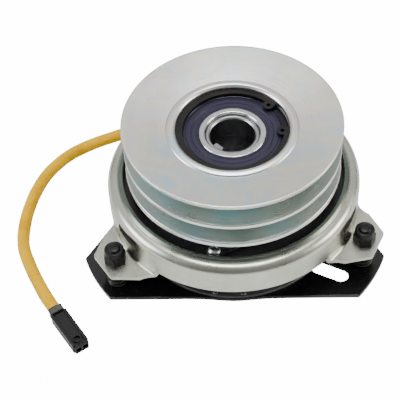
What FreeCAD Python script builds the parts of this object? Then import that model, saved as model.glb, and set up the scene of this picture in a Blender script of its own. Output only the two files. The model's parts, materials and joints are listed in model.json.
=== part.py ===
import FreeCAD, Part
import math
import os
import Sketcher
from FreeCAD import Vector, Placement, Rotation

# Electromagnetic clutch-brake with a double-groove belt pulley.
# Frame: +Z along the shaft from the field plate to the pulley, origin on the
# shaft axis in the plane of the field plate's underside. Millimetres.

doc = FreeCAD.newDocument("ElectromagneticClutch")
sheet = doc.addObject("Spreadsheet::Sheet", "Dims")

DIMS = [
    # shaft bore and rotor hub
    ("bore_r", 14.29), ("hub_r", 17.5), ("hub_top", 83.0), ("hub_collar_r", 21.0),
    ("plain_bore_len", 50.0), ("undercut_r", 15.4), ("undercut_len", 6.0),
    ("key_w", 6.35), ("key_r", 11.1),
    # field plate
    ("plate_t", 3.0), ("plate_r", 105.0), ("plate_edge", 67.75), ("plate_bulge_r", 69.7),
    ("plate_blend_r", 190.0), ("plate_bore_r", 27.0),
    ("slot_r", 5.3), ("slot_len", 15.0), ("slot_x", 62.25), ("slot_y", -47.8),
    # adjusting studs, on a circle about the shaft
    ("stud_pcd_r", 92.4), ("stud_r", 4.0), ("stud_top", 36.2), ("stud_clear", 0.4),
    # coil shell
    ("shell_r", 64.0), ("shell_wall", 4.0), ("shell_top", 30.5), ("shell_floor", 3.0),
    ("foot_r", 69.2), ("foot_t", 1.5), ("shell_in_r", 31.0), ("shell_in_wall", 4.2),
    # rotor disc
    ("rotor_bot", 31.5), ("rotor_top", 37.5), ("rotor_r", 77.5), ("rim_in_r", 64.8),
    ("rim_r", 72.0), ("rim_bot", 18.0), ("boss_r", 30.3),
    # armature
    ("arm_bot", 38.0), ("arm_top", 43.5), ("arm_r", 78.8), ("arm_in_r", 38.0),
    # brake plate
    ("drum_r", 82.4), ("sheet_t", 2.4), ("drum_bot", 28.0), ("ear_top", 24.1),
    ("lip_top", 50.6), ("lip_r", 71.8), ("step_r", 74.9), ("step_h", 1.5),
    ("shoulder_r", 6.3), ("bend_r", 2.2), ("ear_tip", 102.3),
    ("window_half", 11.0), ("window_top", 43.0), ("window_low", 35.0),
    ("lining_bot", 43.6), ("lining_in_r", 72.2), ("lining_gap", 0.05),
    # pulley
    ("sheave_r", 70.0), ("sheave_top", 94.6), ("sheave_bot", 56.1), ("rim_low", 91.1),
    ("mid_r", 69.2), ("mid_top", 75.9), ("mid_bot", 73.1), ("low_top", 59.2),
    ("groove_r", 54.0), ("dish_r", 42.0), ("dish_z", 89.5),
    ("housing_r", 36.0), ("housing_top", 90.6), ("housing_flange_r", 59.5),
    ("housing_flange_t", 3.0), ("housing_bot", 46.0),
    # pulley bearing 35 x 72 x 17 and field bearing 35 x 62 x 14
    ("pb_z", 67.9), ("pb_w", 17.0), ("pb_pitch", 26.75), ("pb_ball", 5.0),
    ("fb_z", 6.0), ("fb_w", 14.0), ("fb_pitch", 24.25), ("fb_ball", 3.9),
    # retaining ring
    ("clip_t", 2.5), ("clip_r", 37.4),
    # lead and connector
    ("lead_r", 4.3), ("conn_w", 11.0), ("conn_h", 8.0), ("conn_len", 34.6),
]
VAL = {}
for i, (name, value) in enumerate(DIMS, start=1):
    sheet.set("A%d" % i, name)
    sheet.set("B%d" % i, str(value))
    sheet.setAlias("B%d" % i, name)
    VAL[name] = value
doc.recompute()


class Dim:
    """A number together with the sheet expression that gives it."""

    def __init__(self, value, expr):
        self.v = float(value)
        self.e = expr

    @staticmethod
    def of(other):
        return other if isinstance(other, Dim) else Dim(other, "%.6f" % other)

    def __add__(self, o):
        o = Dim.of(o)
        return Dim(self.v + o.v, "(%s + %s)" % (self.e, o.e))

    __radd__ = __add__

    def __sub__(self, o):
        o = Dim.of(o)
        return Dim(self.v - o.v, "(%s - %s)" % (self.e, o.e))

    def __rsub__(self, o):
        return Dim.of(o) - self

    def __mul__(self, o):
        o = Dim.of(o)
        return Dim(self.v * o.v, "(%s * %s)" % (self.e, o.e))

    __rmul__ = __mul__

    def __truediv__(self, o):
        o = Dim.of(o)
        return Dim(self.v / o.v, "(%s / %s)" % (self.e, o.e))

    def __neg__(self):
        return Dim(-self.v, "(0 - %s)" % self.e)


def d(name):
    return Dim(VAL[name], "Dims." + name)


def root(x):
    return Dim(math.sqrt(x.v), "sqrt(%s)" % x.e)


def num(x):
    return x.v if isinstance(x, Dim) else float(x)


def bind(obj, prop, value):
    if isinstance(value, Dim):
        obj.setExpression(prop, value.e)


# ---------------------------------------------------------------- helpers
def plane(body, role):
    return [f for f in body.Origin.OriginFeatures if f.Role == role][0]


def fix_point(sk, geo, pos, x, y):
    """Ties a sketch point to the origin with bound distances."""
    for kind, axis, val in (("DistanceX", -2, x), ("DistanceY", -1, y)):
        if abs(num(val)) < 1e-9:
            sk.addConstraint(Sketcher.Constraint("PointOnObject", geo, pos, axis))
            continue
        i = sk.addConstraint(Sketcher.Constraint(kind, -1, 1, geo, pos, num(val)))
        if isinstance(val, Dim):
            sk.setExpression("Constraints[%d]" % i, val.e)


def add_loop(sk, verts):
    """A closed loop of lines and arcs. A vertex is (x, y) or (x, y, r): with r,
    the edge to the next vertex is an arc of that radius, turning left when r is
    positive and right when it is negative."""
    n = len(verts)
    ends = []
    for i, v in enumerate(verts):
        w = verts[(i + 1) % n]
        p = Vector(num(v[0]), num(v[1]), 0)
        q = Vector(num(w[0]), num(w[1]), 0)
        if len(v) == 2:
            g = sk.addGeometry(Part.LineSegment(p, q), False)
            ends.append((g, 1, 2))
            continue
        r = abs(num(v[2]))
        left = num(v[2]) > 0
        mid = (p + q) * 0.5
        half = (q - p).Length / 2.0
        h = math.sqrt(max(r * r - half * half, 0.0))
        nrm = Vector(-(q - p).y, (q - p).x, 0)
        nrm.normalize()
        c = mid + nrm * (h if left else -h)
        a, b = (p, q) if left else (q, p)
        a0 = math.atan2(a.y - c.y, a.x - c.x)
        a1 = math.atan2(b.y - c.y, b.x - c.x)
        if a1 < a0:
            a1 += 2 * math.pi
        g = sk.addGeometry(Part.ArcOfCircle(Part.Circle(c, Vector(0, 0, 1), r), a0, a1), False)
        ends.append((g, 1, 2) if left else (g, 2, 1))
        j = sk.addConstraint(Sketcher.Constraint("Radius", g, r))
        if isinstance(v[2], Dim):
            sk.setExpression("Constraints[%d]" % j, v[2].e if left else "(0 - %s)" % v[2].e)
    for i in range(n):
        g, s, e = ends[i]
        g2, s2, e2 = ends[(i + 1) % n]
        sk.addConstraint(Sketcher.Constraint("Coincident", g, e, g2, s2))
        fix_point(sk, g, s, verts[i][0], verts[i][1])


def add_circle(sk, x, y, r):
    g = sk.addGeometry(Part.Circle(Vector(num(x), num(y), 0), Vector(0, 0, 1), num(r)), False)
    i = sk.addConstraint(Sketcher.Constraint("Radius", g, num(r)))
    bind(sk, "Constraints[%d]" % i, r)
    if abs(num(x)) < 1e-9 and abs(num(y)) < 1e-9:
        sk.addConstraint(Sketcher.Constraint("Coincident", g, 3, -1, 1))
    else:
        fix_point(sk, g, 3, x, y)


def new_sketch(body, role, name):
    sk = body.newObject("Sketcher::SketchObject", name)
    sk.AttachmentSupport = [(plane(body, role), "")]
    sk.MapMode = "FlatFace"
    return sk


def revolve(label, verts, at=None):
    """A body of revolution about Z from a closed (r, z) profile."""
    body = doc.addObject("PartDesign::Body", label)
    body.Label = label
    sk = new_sketch(body, "XZ_Plane", label + "_profile")
    add_loop(sk, verts)
    rev = body.newObject("PartDesign::Revolution", label + "_turned")
    rev.Profile = sk
    rev.ReferenceAxis = (sk, ["V_Axis"])
    rev.Angle = 360.0
    body.Tip = rev
    if at is not None:
        body.Placement = Placement(Vector(num(at[0]), num(at[1]), 0), Rotation())
        bind(body, "Placement.Base.x", at[0])
        bind(body, "Placement.Base.y", at[1])
    return body


def pad(label, loops, circles, z0, height, placement=None):
    """A body padded up from XY, raised to z0."""
    body = doc.addObject("PartDesign::Body", label)
    body.Label = label
    sk = new_sketch(body, "XY_Plane", label + "_outline")
    for loop in loops:
        add_loop(sk, loop)
    for c in circles:
        add_circle(sk, *c)
    p = body.newObject("PartDesign::Pad", label + "_pad")
    p.Profile = sk
    p.Length = num(height)
    bind(p, "Length", height)
    body.Tip = p
    if placement is not None:
        body.Placement = placement
    else:
        body.Placement = Placement(Vector(0, 0, num(z0)), Rotation())
        bind(body, "Placement.Base.z", z0)
    return body


def place(obj, x, y, z, rot=None):
    obj.Placement = Placement(Vector(num(x), num(y), num(z)), rot if rot else Rotation())
    for ax, val in (("x", x), ("y", y), ("z", z)):
        bind(obj, "Placement.Base." + ax, val)


def cyl(name, r, h, x=0, y=0, z=0, rot=None, angle=None):
    o = doc.addObject("Part::Cylinder", name)
    o.Radius = num(r)
    o.Height = num(h)
    bind(o, "Radius", r)
    bind(o, "Height", h)
    if angle is not None:
        o.Angle = angle
    place(o, x, y, z, rot)
    return o


def box(name, lx, ly, lz, x=0, y=0, z=0, rot=None):
    o = doc.addObject("Part::Box", name)
    for prop, val in (("Length", lx), ("Width", ly), ("Height", lz)):
        setattr(o, prop, num(val))
        bind(o, prop, val)
    place(o, x, y, z, rot)
    return o


def sphere(name, r, x, y, z):
    o = doc.addObject("Part::Sphere", name)
    o.Radius = num(r)
    bind(o, "Radius", r)
    place(o, x, y, z)
    return o


def hexagon(name, flats, h, x, y, z, turn=0.0):
    o = doc.addObject("Part::Prism", name)
    o.Polygon = 6
    o.Circumradius = flats / math.sqrt(3.0)
    o.Height = num(h)
    place(o, x, y, z, Rotation(Vector(0, 0, 1), turn))
    return o


def cut(label, base, tool):
    o = doc.addObject("Part::Cut", label)
    o.Base = base
    o.Tool = tool
    o.Label = label
    return o


def fuse(label, shapes):
    o = doc.addObject("Part::MultiFuse", label)
    o.Shapes = shapes
    o.Label = label
    return o


def common(label, a, b):
    o = doc.addObject("Part::Common", label)
    o.Base = a
    o.Tool = b
    o.Label = label
    return o


def group(label, shapes):
    o = doc.addObject("Part::Compound", label)
    o.Links = shapes
    o.Label = label
    return o


def turn_z(deg):
    return Rotation(Vector(0, 0, 1), deg)


def polar(r, deg):
    """Bound x and y of a point at radius r and angle deg."""
    return r * math.cos(math.radians(deg)), r * math.sin(math.radians(deg))


NODES = []


def node(obj):
    NODES.append(obj)
    return obj


# stud angles, three equally spaced
STUD_AZ = (-145.0, -25.0, 95.0)
plate_t = d("plate_t")

# ---------------------------------------------------------------- field plate
# Three straight sides and three rounded corners, each side with a shallow bulge
# where the coil shell's foot comes through its line.
edge, pr, bul, ble = d("plate_edge"), d("plate_r"), d("plate_bulge_r"), d("plate_blend_r")
xc = root(pr * pr - edge * edge)
xb = root((bul - edge) * (bul + edge + 2 * ble))
xt = bul * xb / (bul + ble)
yt = bul * (edge + ble) / (bul + ble)
plate_loop = []
for k in range(3):
    ca, sa = math.cos(math.radians(120 * k)), math.sin(math.radians(120 * k))

    def rot(x, y):
        return (x * ca - y * sa, x * sa + y * ca)

    for x, y, r in ((-xc, -edge, None), (-xb, -edge, -ble), (-xt, -yt, bul), (xt, -yt, -ble),
                    (xb, -edge, None), (xc, -edge, pr)):
        px, py = rot(x, y)
        plate_loop.append((px, py) if r is None else (px, py, r))

slot_az = -25.5
sx, sy, sr, sl = d("slot_x"), d("slot_y"), d("slot_r"), d("slot_len")
cs, sn = math.cos(math.radians(slot_az)), math.sin(math.radians(slot_az))
slot_loop = [
    (sx - sl * (cs / 2) + sr * sn, sy - sl * (sn / 2) - sr * cs),
    (sx + sl * (cs / 2) + sr * sn, sy + sl * (sn / 2) - sr * cs, sr + 0.0002),
    (sx + sl * (cs / 2) - sr * sn, sy + sl * (sn / 2) + sr * cs),
    (sx - sl * (cs / 2) - sr * sn, sy - sl * (sn / 2) + sr * cs, sr + 0.0002),
]
stud_holes = [polar(d("stud_pcd_r"), a) + (d("stud_r"),) for a in STUD_AZ]
node(pad("field_plate", [plate_loop, slot_loop], [(0, 0, d("plate_bore_r"))] + stud_holes, 0, plate_t))

# ---------------------------------------------------------------- coil shell and coil
sh_r, sh_w, sh_t, sh_f = d("shell_r"), d("shell_wall"), d("shell_top"), d("shell_floor")
in_r, in_w = d("shell_in_r"), d("shell_in_wall")
floor_z = plate_t + sh_f
shell_turned = revolve("shell_blank", [
    (d("plate_bore_r"), plate_t), (d("foot_r"), plate_t), (d("foot_r"), plate_t + d("foot_t") - 0.5),
    (d("foot_r") - 0.5, plate_t + d("foot_t")),
    (sh_r, plate_t + d("foot_t")), (sh_r, sh_t - 0.8), (sh_r - 0.8, sh_t), (sh_r - sh_w, sh_t),
    (sh_r - sh_w, floor_z), (in_r + in_w, floor_z), (in_r + in_w, sh_t), (in_r, sh_t),
    (in_r, floor_z), (d("plate_bore_r"), floor_z)])
OUT_AZ = 112.0
outlet_hole = cyl("outlet_hole", 3.4, 12.0, *polar(sh_r - 6.0, OUT_AZ), 9.0,
                  Rotation(Vector(0, 0, 1), Vector(math.cos(math.radians(OUT_AZ)), math.sin(math.radians(OUT_AZ)), 0)))
node(cut("field_shell", shell_turned, outlet_hole))

bob_in, bob_out = in_r + in_w + 0.3, sh_r - sh_w - 0.3
bz0, bz1 = floor_z + 0.3, sh_t - 2.6
node(revolve("coil_bobbin", [
    (bob_in, bz0), (bob_out, bz0), (bob_out, bz0 + 1.4), (bob_in + 1.4, bz0 + 1.4),
    (bob_in + 1.4, bz1 - 1.4), (bob_out, bz1 - 1.4), (bob_out, bz1), (bob_in, bz1)]))
node(revolve("coil_winding", [
    (bob_in + 1.4, bz0 + 1.4), (bob_out - 3.9, bz0 + 1.4), (bob_out - 3.9, bz1 - 1.4),
    (bob_in + 1.4, bz1 - 1.4)]))
node(revolve("coil_potting", [
    (in_r + in_w, bz1), (sh_r - sh_w, bz1), (sh_r - sh_w, sh_t - 0.5), (in_r + in_w, sh_t - 0.5)]))

# rivets that hold the shell's foot to the plate, in three pairs
rivets = []
for k in range(3):
    for j, a in enumerate((-100.7, -85.0)):
        x, y = polar(Dim(66.6, "66.6"), a + 120 * k)
        dome = sphere("stake_ball_%d%d" % (k, j), 2.3, x, y, plate_t + d("foot_t") - 1.3)
        keep = cyl("stake_keep_%d%d" % (k, j), 2.2, 2.0, x, y, plate_t + d("foot_t"))
        rivets.append(common("stake_%d%d" % (k, j), dome, keep))
node(group("shell_rivets", rivets))

# ---------------------------------------------------------------- bearings


def bearing(prefix, r_in, r_out, z0, w, pitch, ball, balls, sh_i, sh_o, lip_i, lip_o):
    """Deep-groove ball bearing: races, balls, cage and two seals."""
    zm = z0 + w / 2
    grv = ball + 0.06
    gi = root(grv * grv - (pitch - sh_i) * (pitch - sh_i))
    go = root(grv * grv - (sh_o - pitch) * (sh_o - pitch))
    z1 = z0 + w
    rec = 2.0
    inner = revolve(prefix + "_inner_race", [
        (r_in, z0 + 0.6), (r_in + 0.6, z0), (lip_i - 0.5, z0), (lip_i, z0 + 0.5), (lip_i, z0 + rec),
        (sh_i, z0 + rec),
        (sh_i, zm - gi, -grv), (sh_i, zm + gi), (sh_i, z1 - rec), (lip_i, z1 - rec),
        (lip_i, z1 - 0.5), (lip_i - 0.5, z1), (r_in + 0.6, z1), (r_in, z1 - 0.6)])
    outer = revolve(prefix + "_outer_race", [
        (r_out - 0.6, z0), (r_out, z0 + 0.6), (r_out, z1 - 0.6), (r_out - 0.6, z1), (lip_o + 0.4, z1),
        (lip_o, z1 - 0.4), (lip_o, z1 - rec), (sh_o, z1 - rec), (sh_o, zm + go, -grv), (sh_o, zm - go),
        (sh_o, z0 + rec), (lip_o, z0 + rec), (lip_o, z0 + 0.4), (lip_o + 0.4, z0)])
    bs, pk = [], []
    for i in range(balls):
        x, y = polar(pitch, 360.0 * i / balls + 11.0)
        bs.append(sphere("%s_ball_%d" % (prefix, i), ball, x, y, zm))
        pk.append(sphere("%s_pocket_%d" % (prefix, i), ball + 0.15, x, y, zm))
    ring = revolve(prefix + "_cage_ring", [
        (pitch - 1.4, zm - w / 2 + 2.05), (pitch + 1.4, zm - w / 2 + 2.05),
        (pitch + 1.4, zm + ball * 0.5), (pitch - 1.4, zm + ball * 0.5)])
    cage = cut(prefix + "_cage", ring, fuse(prefix + "_pockets", pk))
    ball_set = group(prefix + "_balls", bs)
    seals = []
    for tag, za, zb, zc in (("a", z0 + 0.45, z0 + 1.7, z0 + 1.1), ("b", z1 - 0.45, z1 - 1.7, z1 - 1.1)):
        seals.append(revolve("%s_seal_%s" % (prefix, tag), [
            (lip_i + 0.15, za), (lip_i + 1.2, za), (lip_i + 1.6, zc), (lip_o - 1.6, zc), (lip_o - 1.0, za),
            (lip_o, za), (lip_o, zb), (lip_i + 0.15, zb)]))
    return inner, outer, ball_set, cage, seals


hub_r = d("hub_r")
fb_in, fb_out, fb_balls, fb_cage, fb_seals = bearing(
    "field_bearing", hub_r, in_r, d("fb_z"), d("fb_w"), d("fb_pitch"), d("fb_ball"), 11,
    Dim(21.3, "21.3"), Dim(27.2, "27.2"), Dim(20.4, "20.4"), Dim(28.0, "28.0"))
pb_in, pb_out, pb_balls, pb_cage, pb_seals = bearing(
    "pulley_bearing", hub_r, d("housing_r"), d("pb_z"), d("pb_w"), d("pb_pitch"), d("pb_ball"), 9,
    Dim(23.2, "23.2"), Dim(30.3, "30.3"), Dim(21.3, "21.3"), Dim(31.2, "31.2"))
for o in (fb_in, fb_out, fb_balls, fb_cage, pb_in, pb_out, pb_balls, pb_cage):
    node(o)
node(group("field_bearing_seals", fb_seals))
node(group("pulley_bearing_seals", pb_seals))

# snap ring on the hub below the field bearing
ring_full = revolve("hub_ring_blank", [
    (16.3, d("fb_z") - 1.75), (20.2, d("fb_z") - 1.75), (20.2, d("fb_z")), (16.3, d("fb_z"))])
ring_gap = box("hub_ring_gap", 8.0, 7.0, 4.0, 14.5, -3.5, d("fb_z") - 3.0)
node(cut("hub_snap_ring", ring_full, ring_gap))

# ---------------------------------------------------------------- rotor
bore, top = d("bore_r"), d("hub_top")
col = d("hub_collar_r")
pl = d("plain_bore_len")
uc, ul = d("undercut_r"), d("undercut_len")
gz = d("fb_z")
hub_blank = revolve("hub_blank", [
    (bore, 0), (hub_r - 0.8, 0), (hub_r, 0.8), (hub_r, gz - 1.8), (16.2, gz - 1.8), (16.2, gz + 0.05),
    (hub_r, gz + 0.05), (hub_r, d("rotor_top")), (col, d("rotor_top")), (col, d("pb_z")),
    (hub_r, d("pb_z")), (hub_r, top - 1.0), (hub_r - 1.0, top), (bore + 1.0, top),
    (bore, top - 1.0), (bore, pl + ul), (uc, pl + ul - 1.1), (uc, pl + 1.1), (bore, pl)])
KEY_AZ = -135.0
key_box = box("key_bar", 4.6, d("key_w"), top - 1.6 - pl - ul, 0, 0, 0)
key_place = Placement(Vector(0, 0, 0), turn_z(KEY_AZ)).multiply(
    Placement(Vector(VAL["key_r"], -VAL["key_w"] / 2.0, VAL["plain_bore_len"] + VAL["undercut_len"]), Rotation()))
key_box.Placement = key_place
key_trim = cyl("key_trim", bore + 0.6, 200, 0, 0, 0)
key_bar = common("key_fitted", key_box, key_trim)
node(fuse("rotor_hub", [hub_blank, key_bar]))

rb, rt, rr = d("rotor_bot"), d("rotor_top"), d("rotor_r")
ri, ro, rz, bo = d("rim_in_r"), d("rim_r"), d("rim_bot"), d("boss_r")
lin_in, lin_out, lin_t = 49.0, 56.0, 2.2
rotor_blank = revolve("rotor_blank", [
    (hub_r, gz + d("fb_w")), (20.3, gz + d("fb_w")), (20.3, gz + d("fb_w") + 0.8),
    (bo, gz + d("fb_w") + 0.8), (bo, rb), (ri, rb), (ri, rz), (ro - 1.2, rz), (ro, rz + 1.2), (ro, rb - 2.5),
    (rr, rb + 1.2), (rr, rt - 0.6), (rr - 0.6, rt),
    (lin_out, rt), (lin_out, rt - lin_t), (lin_in, rt - lin_t), (lin_in, rt), (hub_r, rt)])
slots = []
for ring, (r0, r1, n, gap, off) in enumerate(((44.2, 46.4, 4, 16, 0), (58.6, 60.8, 5, 13, 20))):
    for k in range(n):
        span = 360.0 / n - gap
        big = cyl("pole_o_%d%d" % (ring, k), r1, rt - rb + 2, 0, 0, rb - 1, turn_z(off + 360.0 * k / n), span)
        small = cyl("pole_i_%d%d" % (ring, k), r0, rt - rb + 4, 0, 0, rb - 2)
        slots.append(cut("pole_slot_%d%d" % (ring, k), big, small))
node(cut("rotor_disc", rotor_blank, fuse("pole_slots", slots)))
node(revolve("rotor_lining", [
    (lin_in, rt - lin_t), (lin_out, rt - lin_t), (lin_out, rt - 0.05), (lin_in, rt - 0.05)]))

# ---------------------------------------------------------------- armature
ab, at_, ar, ai = d("arm_bot"), d("arm_top"), d("arm_r"), d("arm_in_r")
ARM_AZ = (-100.6, 19.4, 139.4)      # armature rivets
HUB_AZ = tuple(a + 50.0 for a in ARM_AZ)   # pulley-side rivets
arm_pr, hub_pr = Dim(64.5, "64.5"), Dim(53.0, "53.0")
node(pad("armature_plate", [], [(0, 0, ar), (0, 0, ai)]
         + [polar(arm_pr, a) + (2.5,) for a in ARM_AZ]
         + [polar(hub_pr, a) + (5.2,) for a in HUB_AZ], ab, at_ - ab))
leaf_z, leaf_t = d("housing_bot") - 0.8, 0.8
arm_rivets, hub_rivets, spacers, leaves = [], [], [], []
for k in range(3):
    ax, ay = polar(arm_pr, ARM_AZ[k])
    hx, hy = polar(hub_pr, HUB_AZ[k])
    n = str(k)
    shank = cyl("arm_shank_" + n, 2.5, leaf_z + leaf_t - ab - 0.6, ax, ay, ab + 0.6)
    dome = sphere("arm_dome_" + n, 4.9, ax, ay, leaf_z + leaf_t - 2.5)
    cap = cyl("arm_cap_" + n, 4.3, 4.0, ax, ay, leaf_z + leaf_t)
    dimple = cyl("arm_dimple_" + n, 1.7, 2.0, ax, ay, leaf_z + leaf_t + 1.5)
    head = cut("arm_head_" + n, common("arm_round_" + n, dome, cap), dimple)
    arm_rivets.append(fuse("arm_rivet_" + n, [shank, head]))
    wash = cyl("leaf_washer_blank_" + n, 4.6, leaf_z - at_, ax, ay, at_)
    spacers.append(cut("leaf_washer_" + n, wash, cyl("leaf_washer_bore_" + n, 2.5, 10, ax, ay, at_ - 1)))
    hs = cyl("hub_shank_" + n, 2.5, d("housing_flange_t") + leaf_t, hx, hy, leaf_z)
    hh = common("hub_round_" + n, sphere("hub_dome_" + n, 4.9, hx, hy, d("housing_bot") + d("housing_flange_t") - 2.5),
                cyl("hub_cap_" + n, 4.2, 4.0, hx, hy, d("housing_bot") + d("housing_flange_t")))
    hl = cyl("hub_tail_" + n, 4.0, 0.9, hx, hy, leaf_z - 0.9)
    hub_rivets.append(fuse("hub_rivet_" + n, [hs, hh, hl]))
    dx, dy = num(hx) - num(ax), num(hy) - num(ay)
    run = math.hypot(dx, dy)
    ang = math.degrees(math.atan2(dy, dx))
    ux, uy = dx / run, dy / run
    bar = box("leaf_bar_" + n, run, 10.0, leaf_t, num(ax) + 5.0 * uy, num(ay) - 5.0 * ux, leaf_z, turn_z(ang))
    e1 = cyl("leaf_end_a" + n, 5.0, leaf_t, ax, ay, leaf_z)
    e2 = cyl("leaf_end_b" + n, 5.0, leaf_t, hx, hy, leaf_z)
    h1 = cyl("leaf_hole_a" + n, 2.5, 4, ax, ay, leaf_z - 1)
    h2 = cyl("leaf_hole_b" + n, 2.5, 4, hx, hy, leaf_z - 1)
    leaves.append(cut("leaf_" + n, fuse("leaf_blank_" + n, [bar, e1, e2]), fuse("leaf_holes_" + n, [h1, h2])))
node(group("armature_rivets", arm_rivets))
node(group("leaf_washers", spacers))
node(group("leaf_springs", leaves))
node(group("pulley_rivets", hub_rivets))

# ---------------------------------------------------------------- pulley
sr_, st, sb = d("sheave_r"), d("sheave_top"), d("sheave_bot")
rl, mr, mt, mb, lt = d("rim_low"), d("mid_r"), d("mid_top"), d("mid_bot"), d("low_top")
gr = d("groove_r")
dr, dz = d("dish_r"), d("dish_z")
slope = 0.325
# The sheave is a plain ring with three rims round it. Each rim is a wedge that
# narrows outwards, and the two belt grooves are the gaps between the wedges.
gr_top = dz + (gr - dr) * ((st - dz) / (sr_ - 2.0 - dr))
node(revolve("pulley_sheave", [(dr + 0.0, sb), (gr, sb), (gr, gr_top), (dr + 0.0, dz)]))
node(revolve("pulley_rim_lower", [
    (gr, sb), (sr_ - 0.9, sb), (sr_ - 0.25, sb + 0.7), (mr, lt - 0.5), (mr - 0.5, lt), (gr, lt + (mr - gr) * slope)]))
node(revolve("pulley_rim_middle", [
    (gr, mb - (mr - gr) * slope), (mr - 0.5, mb), (mr, mb + 0.5), (mr, mt - 0.5), (mr - 0.5, mt), (gr, mt + (mr - gr) * slope)]))
node(revolve("pulley_rim_upper", [
    (gr, rl - (mr - gr) * slope), (mr - 0.4, rl), (mr + 0.1, rl + 0.4), (sr_, st - 0.9), (sr_ - 0.9, st),
    (sr_ - 2.0, st), (gr, gr_top)]))

hr, ht = d("housing_r"), d("housing_top")
hf, hft, hb = d("housing_flange_r"), d("housing_flange_t"), d("housing_bot")
pz, pw = d("pb_z"), d("pb_w")
housing_blank = revolve("housing_blank", [
    (32.4, pz - 3.0), (33.2, pz - 3.8), (38.2, pz - 8.0), (38.2, hb), (hf, hb), (hf, hb + hft), (dr, hb + hft),
    (dr, dz - 0.4), (dr - 0.4, dz + 0.3, 3.6), (dr - 3.4, ht), (hr + 1.4, ht, 1.6), (hr, ht - 1.5),
    (hr, pz + pw + d("clip_t") + 0.1), (d("clip_r") + 0.1, pz + pw + d("clip_t") + 0.1),
    (d("clip_r") + 0.1, pz + pw), (hr, pz + pw), (hr, pz), (32.4, pz)])
rivet_bores = [cyl("housing_bore_%d" % k, 2.5, 6.0, *polar(hub_pr, HUB_AZ[k]), hb - 1) for k in range(3)]
node(cut("pulley_hub", housing_blank, fuse("housing_bores", rivet_bores)))

# internal retaining ring with two lugs, its opening towards +X
cr, ct = d("clip_r"), d("clip_t")
clip_z = pz + pw + 0.03
clip_hole = cyl("clip_hole", 32.0, 6, 0.5, 0.2, clip_z - 1)
clip_ring = cut("clip_ring", cyl("clip_disc", cr, ct - 0.05, 0, 0, clip_z), clip_hole)
clip_gap = cyl("clip_gap", 45, 6, 0, 0, clip_z - 1, turn_z(1.5), 39.0)
clip_open = cut("clip_open", clip_ring, clip_gap)
lugs, lug_holes = [], []
for i, a in enumerate((-2.0, 43.0)):
    lx, ly = polar(Dim(31.4, "31.4"), a)
    lugs.append(cyl("clip_lug_%d" % i, 3.6, ct - 0.05, lx, ly, clip_z))
    lugs.append(box("clip_neck_%d" % i, 4.6, 6.4, ct - 0.05, 31.4 * math.cos(math.radians(a)) + 3.2 * math.sin(math.radians(a)),
                    31.4 * math.sin(math.radians(a)) - 3.2 * math.cos(math.radians(a)), clip_z, turn_z(a)))
    lug_holes.append(cyl("clip_eye_%d" % i, 1.3, 6, lx, ly, clip_z - 1))
node(cut("pulley_retaining_ring", fuse("clip_body", [clip_open] + lugs), fuse("clip_eyes", lug_holes)))

# ---------------------------------------------------------------- brake plate
# A drawn and flanged cup: inward lip with a step, rounded shoulder, wall, and a
# flange that is trimmed away except for three ears. A window is pierced above
# each ear's bend.
R, t = d("drum_r"), d("sheet_t")
lz, lr, sp, shh = d("lip_top"), d("lip_r"), d("step_r"), d("step_h")
srd, brd, ez = d("shoulder_r"), d("bend_r"), d("ear_top")
zs = lz - shh
cup = revolve("cup", [
    (lr, lz - t), (lr, lz - 0.5), (lr + 0.5, lz), (sp - 0.6, lz), (sp, lz - 0.5), (sp + 0.9, zs),
    (R - srd, zs, -srd), (R, zs - srd), (R, ez + brd, brd), (R + brd, ez), (R + 24, ez), (R + 24, ez - t),
    (R + brd, ez - t, -(brd + t)), (R - t, ez + brd), (R - t, zs - srd, srd - t), (R - srd, zs - t),
    (sp, zs - t), (sp - 0.9, lz - t)])
ear_parts = [cyl("cup_keep", R + 0.01, lz - d("drum_bot") + 1, 0, 0, d("drum_bot"))]
tip = d("ear_tip")
for k, a in enumerate(STUD_AZ):
    ca, sa = math.cos(math.radians(a)), math.sin(math.radians(a))

    def loc(r, tt, rad=None):
        p = (r * ca - tt * sa, r * sa + tt * ca)
        return p if rad is None else p + (rad,)

    one = Dim(1.0, "1.0")
    ear_parts.append(pad("ear_keep_%d" % k, [[
        loc(70 * one, -27.5), loc(78.5 * one, -25.6, -16.0), loc(87.6 * one, -21.6), loc(tip - 2.2, -12.2, 3.2),
        loc(tip, -9.0), loc(tip, 9.0, 3.2), loc(tip - 2.2, 12.2), loc(87.6 * one, 21.6, -16.0),
        loc(78.5 * one, 25.6), loc(70 * one, 27.5)]], [], 20, 20))
cup_trimmed = common("cup_trimmed", cup, fuse("cup_keep_all", ear_parts))
windows = []
wt, wh, wl, wc = VAL["window_top"], VAL["window_half"], VAL["window_low"], 2.6
for k, a in enumerate(STUD_AZ):
    turn = turn_z(a)
    rad = Vector(math.cos(math.radians(a)), math.sin(math.radians(a)), 0)
    tan = Vector(-rad.y, rad.x, 0)

    def wbox(nm, half, z0, z1):
        o = box(nm, 10.0, 2 * half, z1 - z0)
        p = rad * 74.0 - tan * half
        o.Placement = Placement(Vector(p.x, p.y, z0), turn)
        return o

    parts = [wbox("win_mid_%d" % k, wh, wl + wc, wt - wc), wbox("win_tall_%d" % k, wh - wc, wl, wt)]
    for j, s in enumerate((-1, 1)):
        for m, z in enumerate((wl + wc, wt - wc)):
            p = rad * 74.0 + tan * (s * (wh - wc))
            parts.append(cyl("win_corner_%d%d%d" % (k, j, m), wc, 10.0, p.x, p.y, z, Rotation(Vector(0, 0, 1), rad)))
    windows.append(fuse("window_%d" % k, parts))
ear_bores = [cyl("ear_bore_%d" % k, d("stud_r") + d("stud_clear"), 10, *polar(d("stud_pcd_r"), a), ez - 6)
             for k, a in enumerate(STUD_AZ)]
node(cut("brake_plate", cup_trimmed, fuse("cup_cuts", windows + ear_bores)))

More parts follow.
